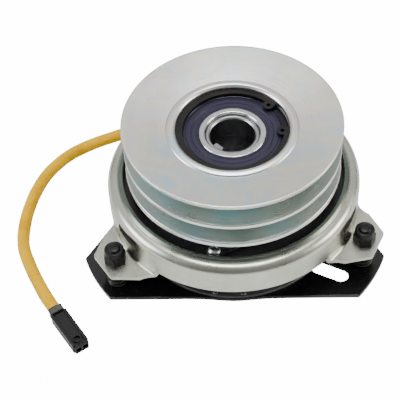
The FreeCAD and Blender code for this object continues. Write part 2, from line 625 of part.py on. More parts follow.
# friction ring that fills the corner under the shoulder
lg = d("lining_gap")
la = srd - t - lg
lh = d("lining_bot") - (zs - srd)
node(revolve("brake_lining", [
    (d("lining_in_r"), d("lining_bot")), (R - srd + root(la * la - lh * lh), d("lining_bot"), la),
    (R - srd, zs - srd + la), (sp, zs - t - lg), (sp - 0.9, lz - t - lg), (d("lining_in_r"), lz - t - lg)]))

# ---------------------------------------------------------------- studs, nuts, springs
NUT_TURN = (30.0, 2.0, 50.0)
studs, nuts, inserts, coils = [], [], [], []
s_r, s_top = d("stud_r"), d("stud_top")
for k, a in enumerate(STUD_AZ):
    x, y = polar(d("stud_pcd_r"), a)
    n = str(k)
    studs.append(revolve("stud_" + n, [(0, 0), (s_r, 0), (s_r, s_top - 0.8), (s_r - 0.8, s_top), (0, s_top)], at=(x, y)))
    hexa = hexagon("nut_hex_" + n, 13.0, 6.6, x, y, ez, NUT_TURN[k])
    collar = cyl("nut_collar_" + n, 6.35, 4.7, x, y, ez + 6.4)
    bore_n = cyl("nut_bore_" + n, s_r + 0.05, 20, x, y, ez - 1)
    pocket = cyl("nut_pocket_" + n, 5.2, 3.0, x, y, ez + 8.4)
    nuts.append(cut("nut_" + n, fuse("nut_blank_" + n, [hexa, collar]), fuse("nut_cuts_" + n, [bore_n, pocket])))
    ins = cyl("insert_blank_" + n, 5.2, 2.5, x, y, ez + 8.4)
    inserts.append(cut("insert_" + n, ins, cyl("insert_bore_" + n, s_r + 0.05, 6, x, y, ez + 7)))
    # compression spring between the plate and the ear
    wire, mean = 0.8, 6.3
    low, high = VAL["plate_t"] + wire, VAL["ear_top"] - VAL["sheet_t"] - wire - 0.02
    hx = doc.addObject("Part::Helix", "spring_path_" + n)
    hx.Pitch = (high - low) / 4.75
    hx.Height = high - low
    hx.Radius = mean
    place(hx, x, y, low)
    wc = doc.addObject("Part::Circle", "spring_wire_" + n)
    wc.Radius = wire
    place(wc, x + mean, y, low, Rotation(Vector(1, 0, 0), 90))
    swp = doc.addObject("Part::Sweep", "spring_" + n)
    swp.Sections = [wc]
    swp.Spine = (hx, [])
    swp.Solid = True
    swp.Frenet = True
    coils.append(swp)
node(group("adjusting_studs", studs))
node(group("lock_nuts", nuts))
node(group("nut_inserts", inserts))
node(group("brake_springs", coils))

# ---------------------------------------------------------------- lead and connector
# A block on the plate turns the two wires out of the shell into the sleeve.
block = box("outlet_box", 15.0, 25.0, 10.6, -30.0, 59.5, plate_t + 0.0)
nose = cyl("outlet_nose", 5.6, 9.0, -30.0, 79.2, 8.8, Rotation(Vector(0, 0, 1), Vector(-1, 0, 0)))
block_cut = cut("outlet_trim", fuse("outlet_body", [block, nose]),
                fuse("outlet_clear", [cyl("outlet_shell", sh_r, 20, 0, 0, plate_t + d("foot_t")),
                                      cyl("outlet_foot", d("foot_r"), d("foot_t"), 0, 0, plate_t)]))
spigot = cyl("outlet_spigot", 3.4, 9.0, *polar(sh_r - 3.6, OUT_AZ), 9.0,
             Rotation(Vector(0, 0, 1), Vector(math.cos(math.radians(OUT_AZ)), math.sin(math.radians(OUT_AZ)), 0)))
lead_outlet = fuse("lead_outlet", [block_cut, spigot])
node(lead_outlet)

ROUTE = [(-39.0, 79.2, 8.8), (-52.5, 79.3, 8.4), (-66.5, 77.7, 7.4), (-82.5, 73.6, 6.0), (-101.5, 66.2, 4.9),
         (-118.0, 55.8, 4.5), (-131.5, 38.5, 4.4), (-138.3, 19.5, 4.4), (-142.0, -2.0, 4.4),
         (-141.6, -25.5, 4.4), (-133.1, -46.0, 4.4), (-122.3, -66.3, 4.5), (-114.6, -78.0, 4.8)]
lead_r = VAL["lead_r"]
pts = [Vector(*p) for p in ROUTE]
edges, here, radii, length = [], pts[0], [], 0.0
for i in range(1, len(pts) - 1):
    a, b, c = pts[i - 1], pts[i], pts[i + 1]
    u = (a - b)
    w = (c - b)
    la, lc = u.Length, w.Length
    u.normalize()
    w.normalize()
    turn = math.pi - u.getAngle(w)
    cutb = 0.45 * min(la, lc)
    rad = cutb / math.tan(turn / 2.0)
    radii.append(round(rad, 1))
    p0, p1 = b + u * cutb, b + w * cutb
    bis = u + w
    bis.normalize()
    cen = b + bis * (rad / math.cos(turn / 2.0))
    mid = cen - bis * rad
    edges.append(Part.LineSegment(here, p0).toShape())
    edges.append(Part.Arc(p0, mid, p1).toShape())
    length += (p0 - here).Length + rad * turn
    here = p1
edges.append(Part.LineSegment(here, pts[-1]).toShape())
length += (pts[-1] - here).Length
path = Part.Wire(edges)
section = Part.Wire(Part.makeCircle(lead_r, pts[0], pts[1] - pts[0]))
tube = Part.Wire(path).makePipeShell([section], True, False)
lead = doc.addObject("Part::Feature", "lead_sleeve")
lead.Label = "lead_sleeve"
lead.Shape = tube
node(lead)
print("lead radii mm:", radii, "length mm: %.1f" % length,
      "volume ratio: %.4f" % (tube.Volume / (math.pi * lead_r ** 2 * length)))

# two-way connector, built along +X and then laid at the sleeve's end
CONN_AZ = -55.0
conn_place = Placement(Vector(-114.6, -78.0, 0.0), turn_z(CONN_AZ))


def laid(obj):
    obj.Placement = conn_place.multiply(obj.Placement)
    return obj


cw, ch, cl = VAL["conn_w"], VAL["conn_h"], VAL["conn_len"]
collar_w = doc.addObject("Part::Wedge", "connector_seal")
collar_w.Label = "connector_seal"
# tapers from the sleeve end up to the housing
collar_w.Xmin, collar_w.Xmax = -4.6, 4.6
collar_w.Zmin, collar_w.Zmax = 0.15, 9.2
collar_w.Ymin, collar_w.Ymax = 0.0, 5.0
collar_w.X2min, collar_w.X2max = -4.8, 4.8
collar_w.Z2min, collar_w.Z2max = 0.15, 8.4
collar_w.Placement = conn_place.multiply(Placement(Vector(0, 0, 0), turn_z(-90)))
node(collar_w)
h0 = 5.0
body_c = box("conn_body", cl - h0, cw - 1.6, ch - 1.2, h0, -(cw - 1.6) / 2, 0)
rails = []
for i, s in enumerate((-1, 1)):
    rails.append(box("conn_rail_%d" % i, cl - h0 - 1.5, 1.9, ch, h0, s * (cw / 2 - 0.95) - 0.95, 0))
bump = cyl("conn_bump", 2.9, 1.2, 29.2, 0, ch - 1.2)
bump_hole = cyl("conn_bump_hole", 1.9, 2.2, 29.2, 0, ch - 2.0)
notch = box("conn_notch", 2.0, 2.8, 1.2, cl - 2.0, -1.4, ch - 1.8)
sockets = []
for i, s in enumerate((-1, 1)):
    sockets.append(box("conn_socket_%d" % i, 17.0, 3.2, 3.0, cl - 17.0, s * 2.4 - 1.6, 2.0))
for o in [body_c, bump, bump_hole, notch] + rails + sockets:
    laid(o)
node(cut("connector_housing", fuse("conn_solid", [body_c, bump] + rails),
         fuse("conn_cuts", [bump_hole, notch] + sockets)))
pins = []
for i, s in enumerate((-1, 1)):
    pins.append(laid(box("conn_pin_%d" % i, 12.0, 2.4, 0.8, cl - 17.0, s * 2.4 - 1.2, 3.1)))
node(group("connector_terminals", pins))

# ---------------------------------------------------------------- check and write
doc.recompute()
bad = []
for o in doc.Objects:
    if "Invalid" in o.State or "Error" in o.State:
        bad.append((o.Name, o.State))
for o in NODES:
    s = o.Shape
    if s.isNull() or not s.isValid() or s.Volume <= 0 or not s.Solids:
        bad.append((o.Label, "shape"))
if bad:
    raise RuntimeError("failed objects: %s" % bad)
os.makedirs("parts", exist_ok=True)
for o in NODES:
    o.Shape.exportStep(os.path.join("parts", o.Label + ".step"))
    b = o.Shape.BoundBox
    print("%-26s solids %2d  vol %9.0f  z %.2f..%.2f" % (o.Label, len(o.Shape.Solids), o.Shape.Volume, b.ZMin, b.ZMax))
print(len(NODES), "nodes")
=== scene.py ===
import bpy
import bmesh
import json
import math
import random
from mathutils import Matrix, Vector


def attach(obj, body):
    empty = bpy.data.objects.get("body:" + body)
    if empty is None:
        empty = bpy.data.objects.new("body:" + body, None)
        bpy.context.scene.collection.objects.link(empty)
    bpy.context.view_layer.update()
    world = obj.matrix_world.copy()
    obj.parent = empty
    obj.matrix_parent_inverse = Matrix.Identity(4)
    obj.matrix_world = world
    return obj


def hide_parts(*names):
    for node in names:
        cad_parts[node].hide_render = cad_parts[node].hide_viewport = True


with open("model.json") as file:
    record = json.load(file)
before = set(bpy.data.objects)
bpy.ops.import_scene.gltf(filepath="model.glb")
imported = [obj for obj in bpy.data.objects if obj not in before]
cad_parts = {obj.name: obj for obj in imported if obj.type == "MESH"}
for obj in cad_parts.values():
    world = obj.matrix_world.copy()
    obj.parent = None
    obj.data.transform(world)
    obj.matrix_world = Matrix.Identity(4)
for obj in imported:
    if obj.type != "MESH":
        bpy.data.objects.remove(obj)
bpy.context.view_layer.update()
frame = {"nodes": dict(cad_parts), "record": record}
nodes = frame["nodes"]
MM = 0.001
random.seed(7)


# ------------------------------------------------------------------ camera
def rotz(v, deg):
    a = math.radians(deg)
    return Vector((v.x * math.cos(a) - v.y * math.sin(a), v.x * math.sin(a) + v.y * math.cos(a), v.z))


el, roll = math.radians(48.79), math.radians(-1.60)
right0, down0 = Vector((1, 0, 0)), Vector((0, -math.sin(el), -math.cos(el)))
fwd = Vector((0, math.cos(el), -math.sin(el)))
right = right0 * math.cos(roll) - down0 * math.sin(roll)
down = right0 * math.sin(roll) + down0 * math.cos(roll)
eye = right * 0.2 + down * 36.8 - fwd * 747.0
right, down, fwd, eye = [rotz(v, 1.3) for v in (right, down, fwd, eye)]
eye = (eye + Vector((0, 0, 94.6))) * MM
cam_data = bpy.data.cameras.new("camera")
cam_data.sensor_width = 36.0
cam_data.lens = 108.0
cam_data.shift_x = -0.08125
cam_data.shift_y = -0.04875
cam_data.clip_start = 0.01
cam_data.clip_end = 20.0
cam = bpy.data.objects.new("camera", cam_data)
bpy.context.scene.collection.objects.link(cam)
up, back = -down, -fwd
cam.matrix_world = Matrix(((right.x, up.x, back.x, eye.x), (right.y, up.y, back.y, eye.y),
                           (right.z, up.z, back.z, eye.z), (0, 0, 0, 1)))
bpy.context.scene.camera = cam


# ------------------------------------------------------------------ materials
class Mat:
    """A procedural material. Every method returns a socket."""

    def __init__(self, name):
        self.m = bpy.data.materials.new(name)
        self.m.use_nodes = True
        self.t = self.m.node_tree
        self.b = self.t.nodes["Principled BSDF"]
        self.geo = self.t.nodes.new("ShaderNodeTexCoord").outputs["Object"]

    def link(self, a, b):
        self.t.links.new(a, b)

    def put(self, key, value):
        s = self.b.inputs[key]
        if hasattr(value, "is_linked") or hasattr(value, "links"):
            self.link(value, s)
        elif isinstance(value, (tuple, list)) and len(value) == 3:
            s.default_value = (*value, 1.0)
        else:
            s.default_value = value
        return self

    def math(self, op, a, b=0.0, c=None, clamp=False):
        n = self.t.nodes.new("ShaderNodeMath")
        n.operation = op
        n.use_clamp = clamp
        for i, v in enumerate((a, b) if c is None else (a, b, c)):
            if hasattr(v, "links"):
                self.link(v, n.inputs[i])
            else:
                n.inputs[i].default_value = v
        return n.outputs[0]

    def xyz(self):
        n = self.t.nodes.new("ShaderNodeSeparateXYZ")
        self.link(self.geo, n.inputs[0])
        return n.outputs

    def vec(self, x, y, z):
        n = self.t.nodes.new("ShaderNodeCombineXYZ")
        for i, v in enumerate((x, y, z)):
            if hasattr(v, "links"):
                self.link(v, n.inputs[i])
            else:
                n.inputs[i].default_value = v
        return n.outputs[0]

    def mapped(self, scale, src=None, loc=(0, 0, 0)):
        n = self.t.nodes.new("ShaderNodeMapping")
        self.link(src or self.geo, n.inputs["Vector"])
        n.inputs["Scale"].default_value = scale
        n.inputs["Location"].default_value = loc
        return n.outputs[0]

    def noise(self, scale, detail=4.0, rough=0.55, src=None, dist=0.0):
        n = self.t.nodes.new("ShaderNodeTexNoise")
        self.link(src or self.geo, n.inputs["Vector"])
        n.inputs["Scale"].default_value = scale
        n.inputs["Detail"].default_value = detail
        n.inputs["Roughness"].default_value = rough
        n.inputs["Distortion"].default_value = dist
        return n.outputs[0]

    def ramp(self, src, stops, interp="LINEAR"):
        n = self.t.nodes.new("ShaderNodeValToRGB")
        n.color_ramp.interpolation = interp
        els = n.color_ramp.elements
        while len(els) < len(stops):
            els.new(0.5)
        for e, (p, c) in zip(els, stops):
            e.position = p
            e.color = (*c, 1.0) if isinstance(c, (tuple, list)) else (c, c, c, 1.0)
        self.link(src, n.inputs[0])
        return n.outputs[0]

    def mix(self, fac, a, b, mode="MIX"):
        n = self.t.nodes.new("ShaderNodeMix")
        n.data_type = "RGBA"
        n.blend_type = mode
        sockets = [s for s in n.inputs if s.type == "RGBA"]
        fs = [s for s in n.inputs if s.type == "VALUE"][0]
        if hasattr(fac, "links"):
            self.link(fac, fs)
        else:
            fs.default_value = fac
        for s, v in zip(sockets, (a, b)):
            if hasattr(v, "links"):
                self.link(v, s)
            else:
                s.default_value = (*v, 1.0)
        return [s for s in n.outputs if s.type == "RGBA"][0]

    def remap(self, src, a0, a1, b0, b1):
        n = self.t.nodes.new("ShaderNodeMapRange")
        self.link(src, n.inputs[0])
        for i, v in enumerate((a0, a1, b0, b1), start=1):
            n.inputs[i].default_value = v
        return n.outputs[0]

    def bump(self, height, strength, distance, base=None):
        n = self.t.nodes.new("ShaderNodeBump")
        n.inputs["Strength"].default_value = strength
        n.inputs["Distance"].default_value = distance
        self.link(height, n.inputs["Height"])
        if base is not None:
            self.link(base, n.inputs["Normal"])
        return n.outputs[0]

    def radius(self):
        s = self.xyz()
        return self.math("SQRT", self.math("ADD", self.math("MULTIPLY", s[0], s[0]), self.math("MULTIPLY", s[1], s[1])))

    def rings(self, k=2600.0):
        """Noise that is constant round the shaft: lathe marks."""
        s = self.xyz()
        return self.noise(1.0, 3.0, 0.6, self.vec(self.math("MULTIPLY", self.radius(), k), self.math("MULTIPLY", s[2], k), 0.0))


def metal(name, color, rough, metallic=1.0, spot=0.08, marks=0.0, grain=0.15, tint=None, aniso=0.0, wear=None, coat=0.0, spec=0.5):
    m = Mat(name)
    big = m.noise(38.0, 5.0, 0.6)
    fine = m.noise(1500.0, 2.0, 0.5)
    dark = tuple(c * (1.0 - spot * 2.2) for c in color)
    light = tuple(min(1.0, c * (1.0 + spot)) for c in color)
    col = m.ramp(big, [(0.3, dark), (0.7, light)])
    if tint:
        t = m.ramp(m.noise(21.0, 3.0, 0.5, dist=1.2), tint)
        col = m.mix(0.55, col, t, "MIX")
    if wear:
        w = m.ramp(m.noise(190.0, 6.0, 0.75), [(0.58, 0.0), (0.72, 1.0)])
        col = m.mix(m.math("MULTIPLY", w, wear[1]), col, wear[0])
    m.put("Base Color", col)
    m.put("Metallic", metallic)
    r = m.remap(big, 0.25, 0.75, rough * 0.85, rough * 1.18)
    if marks:
        ring = m.rings()
        r = m.math("ADD", r, m.remap(ring, 0.2, 0.8, -0.05, 0.06))
        n1 = m.bump(ring, marks, 0.00004)
        m.put("Normal", m.bump(fine, grain, 0.00003, n1))
    else:
        m.put("Normal", m.bump(fine, grain, 0.00003))
    m.put("Roughness", r)
    if aniso:
        m.put("Anisotropic", aniso)
        tan = m.t.nodes.new("ShaderNodeTangent")
        tan.direction_type = "RADIAL"
        tan.axis = "Z"
        m.link(tan.outputs[0], m.b.inputs["Tangent"])
    m.put("Specular IOR Level", spec)
    if coat:
        m.put("Coat Weight", coat)
        m.put("Coat Roughness", 0.12)
    return m.m


def plastic(name, color, rough, spot=0.12, grain=0.3, scale=900.0, patches=None, spec=0.5):
    m = Mat(name)
    big = m.noise(60.0, 5.0, 0.6)
    fine = m.noise(scale, 3.0, 0.6)
    col = m.ramp(big, [(0.28, tuple(c * (1 - spot) for c in color)), (0.72, tuple(min(1, c * (1 + spot)) for c in color))])
    # patches paint shade: darker patches scattered by noise over the colour
    if patches:
        p = m.ramp(m.noise(patches[1], 4.0, 0.6, dist=0.6), [(patches[3], 0.0), (patches[4], 1.0)])
        col = m.mix(m.math("MULTIPLY", p, patches[2]), col, patches[0])
    m.put("Base Color", col)
    m.put("Roughness", m.remap(fine, 0.2, 0.8, rough * 0.85, rough * 1.15))
    m.put("Normal", m.bump(fine, grain, 0.00005))
    m.put("Specular IOR Level", spec)
    return m.m


def zinc():
    """Bright zinc plate: broad bluish and warmer patches, cloudy interference
    colours, and painted shade down in the grooves, tinted greenish."""
    m = Mat("zinc")
    s = m.xyz()
    cloud = m.noise(24.0, 3.0, 0.55, dist=1.0)
    side = m.remap(m.noise(9.0, 2.0, 0.5, m.mapped((1.0, 1.0, 0.6), loc=(0.2, 0.7, 0.1))), 0.34, 0.66, 0.0, 1.0)
    base = m.ramp(side, [(0.0, (0.62, 0.78, 0.86)), (0.35, (0.72, 0.77, 0.77)), (0.65, (0.72, 0.715, 0.68)), (1.0, (0.68, 0.68, 0.65))])
    tint = m.ramp(m.noise(17.0, 4.0, 0.6, m.mapped((1.0, 1.3, 1.0), loc=(0.31, 0.12, 0.4)), 1.4),
                  [(0.32, (0.48, 0.72, 0.86)), (0.41, (0.68, 0.76, 0.74)), (0.50, (0.86, 0.82, 0.62)), (0.57, (0.82, 0.70, 0.72)), (0.68, (0.60, 0.80, 0.78))])
    face = m.mix(0.50, base, tint)
    r = m.radius()
    low = m.math("LESS_THAN", s[2], 0.0913)
    inner = m.math("MULTIPLY", m.math("LESS_THAN", r, 0.0690), m.math("GREATER_THAN", r, 0.0422))
    # painted shade: a darker greenish colour laid in the grooves, strongest towards the groove bottoms
    painted_groove_shade = m.ramp(m.noise(16.0, 3.0, 0.5, m.mapped((1.0, 1.0, 2.2), loc=(0.11, 0.5, 0.2))),
                  [(0.36, (0.20, 0.25, 0.235)), (0.50, (0.29, 0.335, 0.31)), (0.60, (0.24, 0.37, 0.39)), (0.72, (0.35, 0.385, 0.34))])
    deep = m.math("MULTIPLY", m.math("MULTIPLY", low, inner), m.math("LESS_THAN", s[2], 0.0912))
    groove = m.math("MULTIPLY", deep, m.remap(r, 0.054, 0.069, 1.0, 0.78))
    under = m.math("MULTIPLY", groove, m.math("GREATER_THAN", s[2], 0.0565))
    # the dished top face lies above the cone from the lip to the rim
    top = m.math("GREATER_THAN", s[2], m.math("ADD", 0.0808, m.math("MULTIPLY", r, 0.18)))
    fac = m.math("MULTIPLY", under, m.math("SUBTRACT", 1.0, top), clamp=True)
    m.put("Base Color", m.mix(fac, face, painted_groove_shade))
    m.put("Metallic", 1.0)
    ring = m.rings(2400.0)
    fine_n = m.noise(1300.0, 2.0, 0.5)
    rough = m.math("ADD", m.remap(cloud, 0.25, 0.75, 0.25, 0.33), m.remap(ring, 0.2, 0.8, -0.03, 0.04))
    m.put("Roughness", rough)
    m.put("Normal", m.bump(fine_n, 0.10, 0.00003, m.bump(ring, 0.07, 0.00004)))
    m.put("Anisotropic", 0.25)
    tan = m.t.nodes.new("ShaderNodeTangent")
    tan.direction_type = "RADIAL"
    tan.axis = "Z"
    m.link(tan.outputs[0], m.b.inputs["Tangent"])
    return m.m


def race():
    """Ground bearing steel, with painted shade on the outer face under the retaining ring."""
    m = Mat("bearing_steel")
    s = m.xyz()
    r = m.radius()
    big = m.noise(60.0, 4.0, 0.6)
    col = m.ramp(big, [(0.3, (0.58, 0.58, 0.58)), (0.7, (0.68, 0.68, 0.68))])
    # painted shade: the outer race face under the retaining ring is coloured near black
    painted_ring_shade = m.math("MULTIPLY", m.math("GREATER_THAN", r, 0.0311), m.math("GREATER_THAN", s[2], 0.0835))
    col = m.mix(painted_ring_shade, col, (0.035, 0.033, 0.045))
    m.put("Base Color", col)
    m.put("Metallic", 1.0)
    ring = m.rings(3000.0)
    m.put("Roughness", m.remap(ring, 0.2, 0.8, 0.16, 0.26))
    m.put("Normal", m.bump(ring, 0.2, 0.00003))
    return m.m


def silver():
    """Drawn and plated sheet: satin, a painted dark greenish reflection of the pulley underside on the inner lip,
    drawing marks that run down the wall, and a few handling scratches."""
    m = Mat("silver_plate")
    s = m.xyz()
    r = m.radius()
    big = m.noise(30.0, 5.0, 0.6, dist=0.5)
    col = m.ramp(big, [(0.28, (0.42, 0.428, 0.355)), (0.50, (0.51, 0.515, 0.44)), (0.74, (0.58, 0.585, 0.515))])
    streak = m.noise(1.0, 4.0, 0.6, m.mapped((170.0, 170.0, 16.0)))
    col = m.mix(m.remap(streak, 0.45, 0.75, 0.0, 0.22), col, (0.40, 0.41, 0.37))
    scratch = m.ramp(m.noise(1.0, 2.0, 0.5, m.mapped((900.0, 60.0, 60.0), loc=(0.3, 0.1, 0.2)), 0.3), [(0.70, 0.0), (0.74, 1.0)])
    col = m.mix(m.math("MULTIPLY", scratch, 0.30), col, (0.85, 0.86, 0.82))
    # painted reflection: the inner lip is coloured dark greenish, standing in for the dark pulley underside it reflects
    lip = m.math("MULTIPLY", m.remap(r, 0.0765, 0.0750, 0.0, 1.0), m.math("GREATER_THAN", s[2], 0.0470))
    painted_lip_reflection = m.ramp(m.noise(22.0, 3.0, 0.5), [(0.35, (0.085, 0.108, 0.090)), (0.65, (0.15, 0.175, 0.145))])
    col = m.mix(m.math("MULTIPLY", lip, 0.92, clamp=True), col, painted_lip_reflection)
    m.put("Base Color", col)
    m.put("Metallic", 1.0)
    m.put("Roughness", m.math("ADD", m.remap(big, 0.25, 0.75, 0.24, 0.33), m.remap(streak, 0.3, 0.7, -0.02, 0.03)))
    m.put("Normal", m.bump(m.noise(1400.0, 2.0, 0.5), 0.22, 0.00003, m.bump(streak, 0.12, 0.0001)))
    return m.m


MATS = {
    "zinc": zinc(),
    "silver_plate": silver(),
    "black_gloss": metal("black_gloss", (0.006, 0.006, 0.0066), 0.16, metallic=0.0, spot=0.1, grain=0.10, coat=0.22, spec=0.42),
    "black_oxide": metal("black_oxide", (0.0042, 0.0039, 0.0034), 0.38, metallic=0.0, spot=0.2, grain=0.4, wear=((0.03, 0.03, 0.027), 0.2), spec=0.26),
    "bearing_steel": race(),
    "cage_steel": metal("cage_steel", (0.50, 0.47, 0.40), 0.35),
    "bright_steel": metal("bright_steel", (0.68, 0.68, 0.66), 0.28, spot=0.06),
    "spring_steel": metal("spring_steel", (0.33, 0.34, 0.36), 0.33, spot=0.08, wear=((0.10, 0.09, 0.08), 0.4)),
    "spring_dark": metal("spring_dark", (0.055, 0.055, 0.050), 0.33, metallic=0.8, spot=0.1),
    "hub_steel": metal("hub_steel", (0.34, 0.34, 0.35), 0.30, spot=0.06, marks=0.4, aniso=0.3),
    "coil_steel": metal("coil_steel", (0.16, 0.16, 0.165), 0.42, metallic=0.7, spot=0.12, marks=0.3),
    "rotor_black": metal("rotor_black", (0.028, 0.028, 0.029), 0.50, metallic=0.3, spot=0.2, marks=0.3, wear=((0.10, 0.09, 0.085), 0.3)),
    "copper": metal("copper", (0.66, 0.28, 0.12), 0.30, spot=0.1),
    "tin": metal("tin", (0.72, 0.72, 0.70), 0.25),
    "nylon": plastic("nylon", (0.62, 0.60, 0.52), 0.45),
    "potting": plastic("potting", (0.03, 0.03, 0.032), 0.35),
    "lining": plastic("lining", (0.10, 0.075, 0.055), 0.75, spot=0.3, grain=0.8, scale=600.0),
    "seal": plastic("seal", (0.017, 0.0145, 0.034), 0.36, grain=0.25, spec=0.30),
    "black_plastic": plastic("black_plastic", (0.0046, 0.0043, 0.0039), 0.35, grain=0.5, spec=0.26),
    "black_rubber": plastic("black_rubber", (0.0075, 0.007, 0.0068), 0.42, grain=0.6, spec=0.35),
    # the yellow sleeve's darker orange-brown patches are painted shade
    "yellow_sleeve": plastic("yellow_sleeve", (0.72, 0.40, 0.0), 0.42, spot=0.06, grain=0.35, scale=700.0,
                             patches=((0.50, 0.20, 0.0), 46.0, 0.60, 0.48, 0.68), spec=0.03),
}

SLOT = {s["node"]: s["material_slot"] for s in frame["record"]["subparts"]}
BODY = {n: b for b, ns in frame["record"]["behaviour"]["bodies"].items() for n in ns}
for n, o in nodes.items():
    o.data.materials.clear()
    o.data.materials.append(MATS[SLOT[n]])


# ------------------------------------------------------------------ mesh helpers
def add(name, mesh, node, slot=None, bevel=0.0, angle=32.0, extra=()):
    """Links a mesh as a piece that rides with, and stands for, a CAD node."""
    ob = bpy.data.objects.new(name, mesh)
    bpy.context.scene.collection.objects.link(ob)
    slot = slot or SLOT[node]
    mesh.materials.clear()
    mesh.materials.append(MATS[slot])
    for p in mesh.polygons:
        p.use_smooth = True
    if bevel:
        b = ob.modifiers.new("edge", "BEVEL")
        b.width = bevel * MM
        b.segments = 3
        b.limit_method = "ANGLE"
        b.angle_limit = math.radians(angle)
        b.harden_normals = True
        b.use_clamp_overlap = True
    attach(ob, BODY[node])
    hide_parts(node, *extra)
    return ob


def sharpen(bm, deg):
    for e in bm.edges:
        if len(e.link_faces) == 2:
            e.smooth = e.calc_face_angle(0.0) < math.radians(deg)


def finished(name, bm, sharp=32.0):
    bmesh.ops.recalc_face_normals(bm, faces=bm.faces)
    sharpen(bm, sharp)
    me = bpy.data.meshes.new(name)
    bm.to_mesh(me)
    bm.free()
    return me


def fine(node, bevel=0.25, angle=32.0, name=None, slot=None):
    """The CAD node's own shape, cleaned, smooth-shaded and with softened edges."""
    bm = bmesh.new()
    bm.from_mesh(nodes[node].data)
    bmesh.ops.remove_doubles(bm, verts=bm.verts, dist=2e-6)
    bmesh.ops.dissolve_limit(bm, angle_limit=math.radians(0.6), verts=bm.verts, edges=bm.edges)
    return add(name or node + "_skin", finished(node + "_skin", bm, angle), node, slot, bevel, angle)


def lathe_bm(profile, seg=256, bm=None, closed=True, at=(0, 0), z0=0.0):
    """Spins an (r, z) profile in mm round Z."""
    bm = bm or bmesh.new()
    rows = []
    for r, z in profile:
        if r < 1e-6:
            rows.append([bm.verts.new((at[0] * MM, at[1] * MM, (z + z0) * MM))])
            continue
        rows.append([bm.verts.new(((r * math.cos(2 * math.pi * i / seg) + at[0]) * MM,
                                   (r * math.sin(2 * math.pi * i / seg) + at[1]) * MM, (z + z0) * MM)) for i in range(seg)])
    n = len(rows)
    for j in range(n if closed else n - 1):
        a, b = rows[j], rows[(j + 1) % n]
        if len(a) == 1 and len(b) == 1:
            continue
        for i in range(seg):
            k = (i + 1) % seg
            if len(a) == 1:
                bm.faces.new((a[0], b[k], b[i]))
            elif len(b) == 1:
                bm.faces.new((a[i], a[k], b[0]))
            else:
                bm.faces.new((a[i], a[k], b[k], b[i]))
    return bm


def rounded(profile, radii, steps=5):
    """The profile with each corner i rounded by radii[i] (mm)."""
    out, n = [], len(profile)
    for i, (x, y) in enumerate(profile):
        r = radii.get(i, 0.0)
        if r <= 0:
            out.append((x, y))
            continue
        p, a, b = Vector((x, y)), Vector(profile[i - 1]), Vector(profile[(i + 1) % n])
        u, w = (a - p), (b - p)
        lu, lw = u.length, w.length
        u.normalize()
        w.normalize()
        ang = u.angle(w)
        cutb = min(r / math.tan(ang / 2), 0.48 * lu, 0.48 * lw)
        rr = cutb * math.tan(ang / 2)
        bis = (u + w).normalized()
        c = p + bis * (rr / math.sin(ang / 2))
        s, e = p + u * cutb - c, p + w * cutb - c
        tot = s.angle(e)
        side = 1 if s.x * e.y - s.y * e.x > 0 else -1
        for k in range(steps + 1):
            t = side * tot * k / steps
            out.append((c.x + s.x * math.cos(t) - s.y * math.sin(t), c.y + s.x * math.sin(t) + s.y * math.cos(t)))
    return out


# ------------------------------------------------------------------ pulley
prof = [(42.0, 56.1), (69.75, 56.1), (69.2, 59.2), (54.0, 64.14), (54.0, 68.16), (69.2, 73.1), (69.2, 75.9),
        (54.0, 80.84), (54.0, 86.16), (69.2, 91.1), (70.0, 94.6), (68.6, 94.55), (42.0, 89.5)]
prof = rounded(prof, {1: 0.7, 2: 0.9, 3: 1.6, 4: 1.6, 5: 0.8, 6: 0.8, 7: 1.6, 8: 1.6, 9: 0.9, 10: 1.0, 11: 2.0}, 6)
add("pulley_sheave_skin", finished("pulley_sheave_skin", lathe_bm(prof, 288)), "pulley_sheave",
    extra=("pulley_rim_lower", "pulley_rim_middle", "pulley_rim_upper"))

prof = [(32.4, 67.9), (32.4, 64.9), (33.2, 64.1), (38.2, 59.9), (38.2, 46.0), (59.5, 46.0), (59.5, 49.0), (42.0, 49.0),
        (42.0, 89.5), (40.9, 90.3), (38.8, 90.65), (37.4, 90.4), (36.05, 89.2), (36.0, 87.5), (37.5, 87.5), (37.5, 84.9),
        (36.0, 84.9), (36.0, 67.9)]
prof = rounded(prof, {0: 0.3, 4: 0.5, 5: 0.6, 6: 0.6, 7: 0.8, 8: 1.0, 9: 1.4, 10: 1.6, 11: 1.2, 12: 0.8}, 5)
add("pulley_hub_skin", finished("pulley_hub_skin", lathe_bm(prof, 288)), "pulley_hub")
fine("pulley_retaining_ring", 0.22)
fine("pulley_rivets", 0.2)
fine("leaf_springs", 0.12)
fine("leaf_washers", 0.12)
fine("armature_rivets", 0.2)
fine("armature_plate", 0.35)

# bearing seals with moulded steps
for node, r0, r1, za, zb in (("pulley_bearing_seals", 21.45, 31.2, 68.35, 84.45), ("field_bearing_seals", 20.55, 28.0, 6.45, 19.55)):
    w = r1 - r0
    bm = bmesh.new()
    for top, zf in ((False, za), (True, zb)):
        s = -1 if top else 1
        shape = [(r0, 0.1), (r0 + 0.35, 0), (r0 + 0.9, 0.0), (r0 + 1.1, 0.35), (r0 + 1.5, 0.35), (r0 + 1.7, 0.05),
                 (r0 + w * 0.42, 0.10), (r0 + w * 0.45, 0.42), (r0 + w * 0.50, 0.42), (r0 + w * 0.53, 0.10),
                 (r1 - 1.9, 0.05), (r1 - 1.7, 0.4), (r1 - 1.3, 0.4), (r1 - 1.1, 0.0), (r1 - 0.3, 0.0), (r1, 0.15),
                 (r1, 1.25), (r0, 1.25)]
        lathe_bm([(r, zf + s * z) for r, z in shape], 192, bm)
    add(node + "_skin", finished(node + "_skin", bm, 25), node)
fine("pulley_bearing_outer_race", 0.25)
fine("pulley_bearing_inner_race", 0.25)
fine("rotor_hub", 0.3)

# ------------------------------------------------------------------ brake plate, field plate, shell, rotor
fine("brake_plate", 0.35, 38.0)
fine("brake_lining", 0.2)
fine("field_plate", 0.4)
fine("field_shell", 0.3)
fine("shell_rivets", 0.1)
fine("rotor_disc", 0.3)
fine("rotor_lining", 0.1)
fine("lead_outlet", 0.8)

